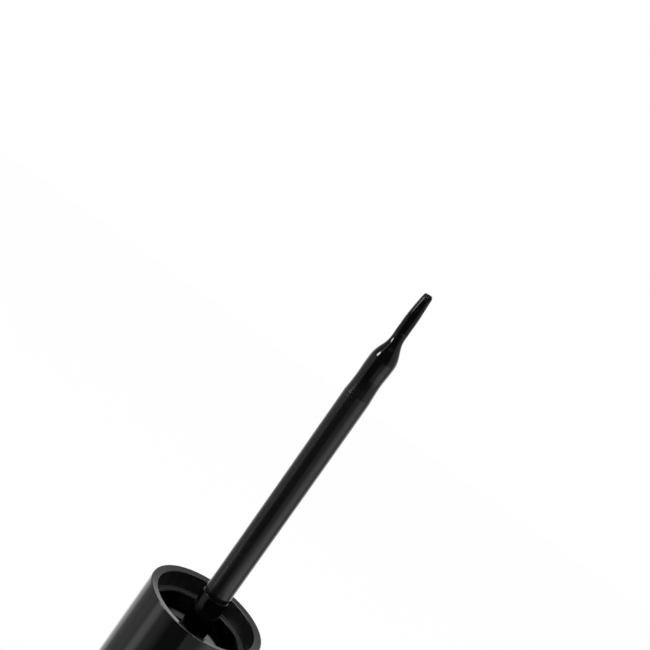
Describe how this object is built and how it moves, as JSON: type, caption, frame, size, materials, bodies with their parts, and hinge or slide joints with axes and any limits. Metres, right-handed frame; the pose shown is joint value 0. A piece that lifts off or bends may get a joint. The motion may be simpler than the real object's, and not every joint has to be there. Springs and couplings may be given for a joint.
{
  "type": "liquid eyeliner applicator",
  "caption": "Dip-type liquid eyeliner applicator: glossy cylindrical cap that is the handle, threaded insert in its mouth, moulded wand with a swaged nose, and a fine brush tuft.",
  "frame": {"origin": "centre of the cap's flat closed end, on which the applicator stands", "axes": "+Z along the axis, from the closed end towards the brush's tip; X and Y are square to it"},
  "size_m": [0.0144, 0.0144, 0.0959],
  "materials": {
    "cap_gloss": "high gloss moulded shell",
    "insert_plastic": "semi-gloss moulded insert, wet with ink in places",
    "gasket_rubber": "soft matt washer",
    "wand_satin": "satin moulded rod",
    "tuft_wet": "fine filaments wet with glossy ink"
  },
  "bodies": {
    "root": {"outer_cap": "cap_gloss", "thread_insert": "insert_plastic", "neck_gasket": "gasket_rubber", "wand": "wand_satin", "brush_tuft": "tuft_wet"}
  },
  "joints": []
}
